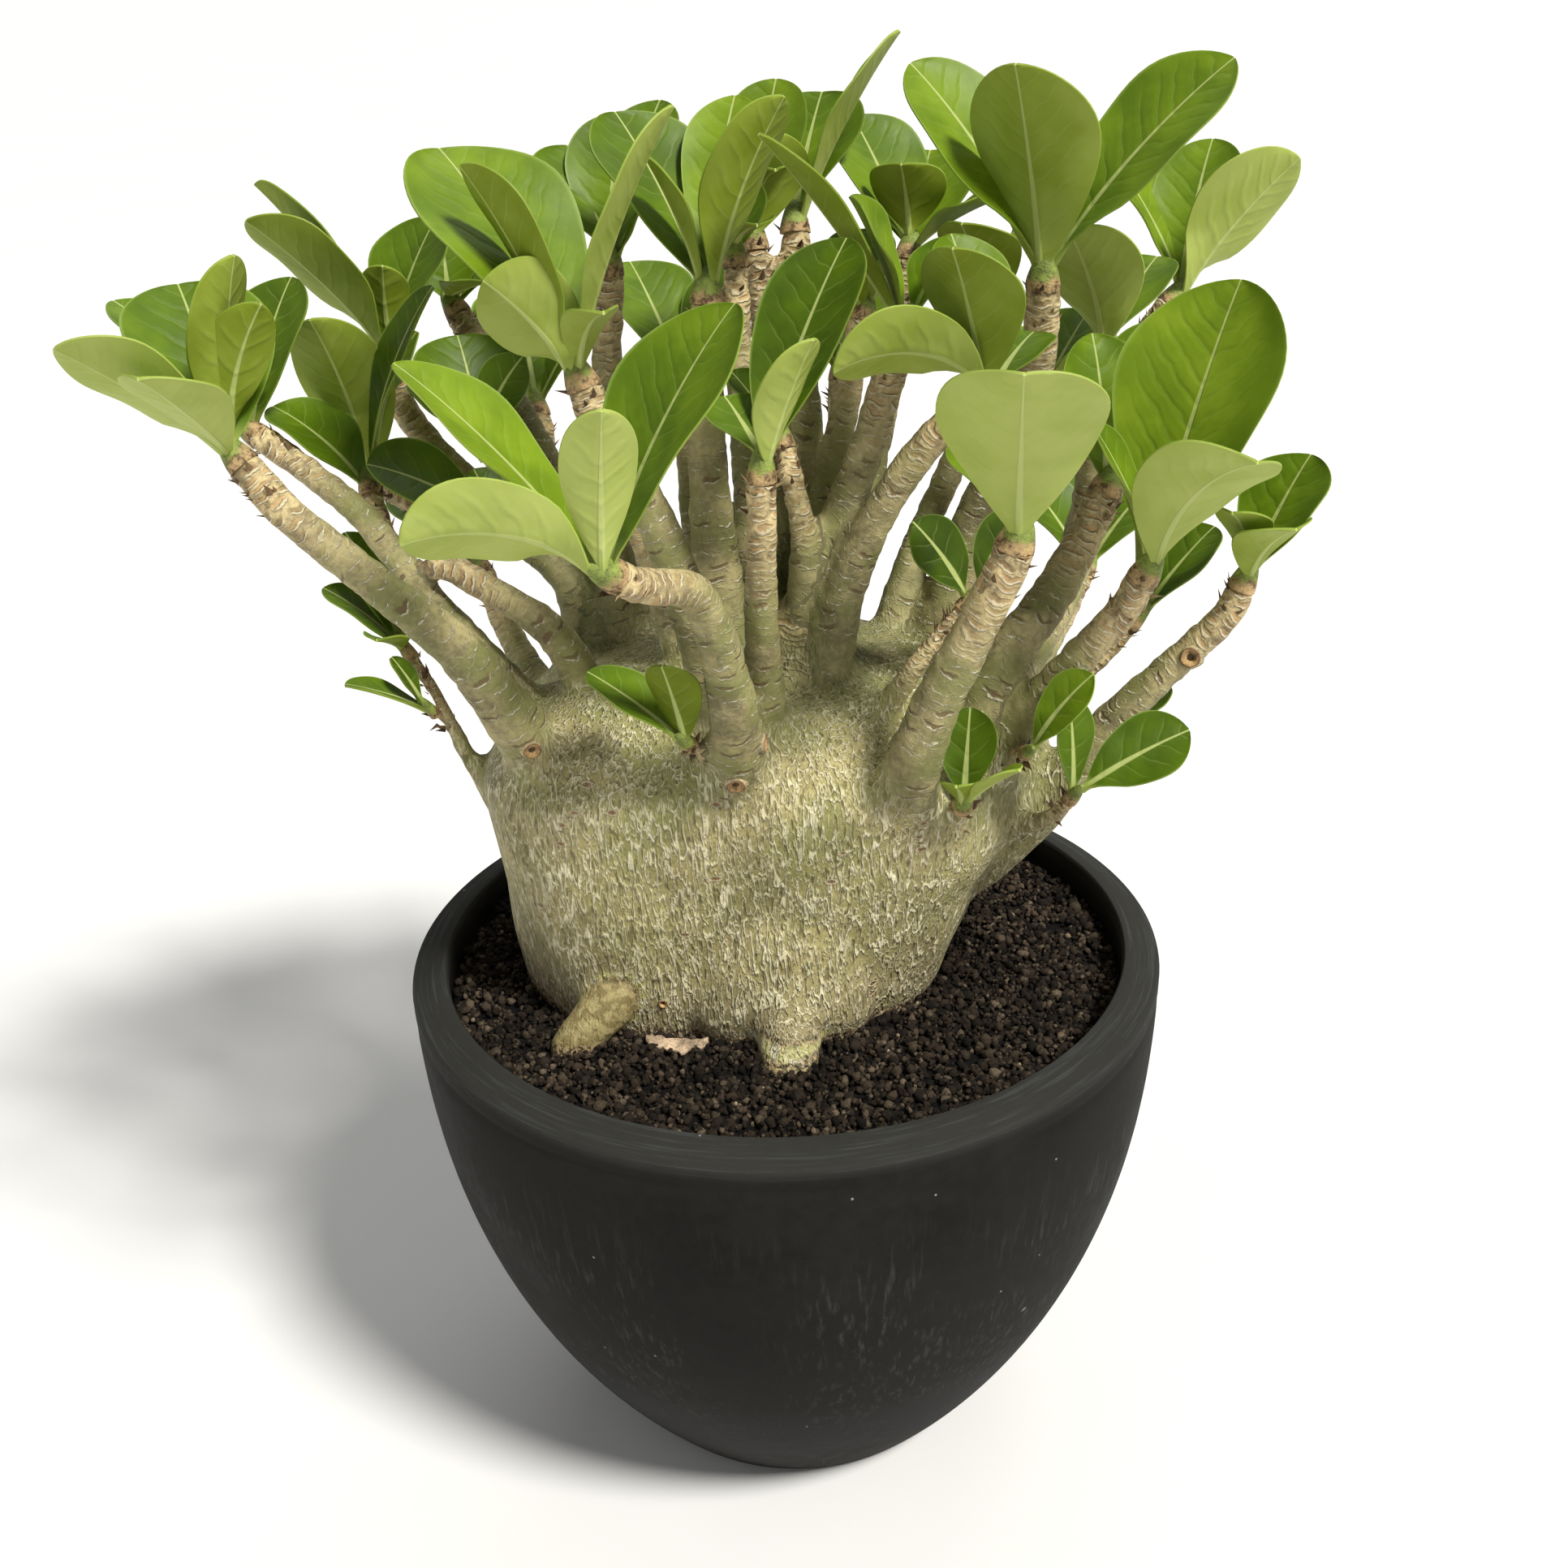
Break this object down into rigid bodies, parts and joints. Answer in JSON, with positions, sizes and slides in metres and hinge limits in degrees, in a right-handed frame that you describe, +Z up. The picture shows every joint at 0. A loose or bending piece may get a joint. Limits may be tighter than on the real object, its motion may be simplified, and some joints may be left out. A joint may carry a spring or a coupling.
{
  "type": "potted desert rose",
  "caption": "Potted desert rose: a swollen grey-green stem with many knobbly branches, each ending in a rosette of broad green leaves, in a wide dark bowl-shaped pot.",
  "frame": {"origin": "middle of the pot's foot, on the surface that it stands on", "axes": "+Z up, +X to the right and +Y to the back as the plant is looked at from its front"},
  "size_m": [0.3583, 0.2668, 0.4416],
  "materials": {
    "pot": "matte charcoal with faint dust",
    "soil": "rough, crumbly",
    "bark": "grey-green bark with pale rings",
    "leaf": "smooth, lightly glossy"
  },
  "bodies": {
    "root": {"pot": "pot", "soil": "soil", "wood": "bark", "leaves_front_bent": "leaf", "leaves_front_right": "leaf", "leaves_round_leaf": "leaf", "leaves_centre_left": "leaf", "leaves_right_high": "leaf", "leaves_right_arm": "leaf", "leaves_far_left": "leaf", "leaves_front_straight": "leaf", "leaves_right_centre": "leaf", "leaves_centre_back_b": "leaf", "leaves_centre": "leaf", "leaves_centre_right_b": "leaf", "leaves_centre_right_c": "leaf", "leaves_right_back": "leaf", "leaves_right_mid": "leaf", "leaves_far_right": "leaf", "leaves_left_inner": "leaf", "leaves_left_far": "leaf", "leaves_left_centre": "leaf", "leaves_centre_back_a": "leaf", "leaves_left_top": "leaf", "leaves_left_high": "leaf", "leaves_left_upright": "leaf", "leaves_left_back_arm": "leaf", "leaves_left_spur": "leaf", "leaves_centre_spur": "leaf", "leaves_centre_right_a": "leaf", "leaves_right_thin": "leaf", "leaves_right_inner": "leaf", "leaves_right_twig": "leaf", "leaves_low_left": "leaf", "leaves_low_left_bud": "leaf", "leaves_front_sprout": "leaf", "leaves_front_right_sprout": "leaf", "leaves_far_right_sprout": "leaf", "leaves_low_right_bud": "leaf", "leaves_right_edge_bud": "leaf", "leaves_right_small_bud": "leaf", "leaves_back_left": "leaf", "leaves_back_middle": "leaf", "leaves_back_centre": "leaf", "leaves_back_right": "leaf", "leaves_back_low_left": "leaf", "leaves_back_low_right": "leaf", "leaves_back_low": "leaf"}
  },
  "joints": []
}
